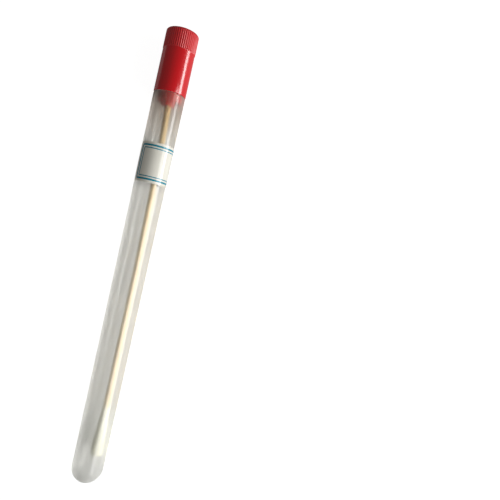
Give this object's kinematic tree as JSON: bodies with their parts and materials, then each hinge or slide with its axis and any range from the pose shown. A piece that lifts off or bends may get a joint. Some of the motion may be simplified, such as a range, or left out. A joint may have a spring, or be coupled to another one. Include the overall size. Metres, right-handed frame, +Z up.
{
  "type": "specimen swab tube",
  "caption": "Round-bottomed specimen tube with a paper label and a ribbed push-in cap that carries a bowed, cotton-tipped wooden swab.",
  "frame": {"origin": "on the surface it lies on, under the middle of its length", "axes": "+X along the tube's axis towards the cap, +Z up; the swab is bowed towards -Y and a little down"},
  "size_m": [0.1742, 0.0124, 0.0124],
  "materials": {
    "frosted_plastic": "frosted, translucent moulded polypropylene",
    "red_plastic": "glossy red moulded plastic",
    "wood": "bare pale birch",
    "cotton": "wound cotton fibre",
    "label_paper": "smooth white label paper",
    "label_ink": "printed blue line"
  },
  "bodies": {
    "tube": {"tube": "frosted_plastic", "label": "label_paper", "label_border_outer": "label_ink", "label_border_inner": "label_ink"},
    "swab": {"cap": "red_plastic", "stick": "wood", "cotton_tip": "cotton"}
  },
  "joints": [
    {"name": "swab_pull", "type": "slide", "parent": "tube", "child": "swab", "axis": [1, 0, 0], "range_m": [0, 0.145]}
  ]
}
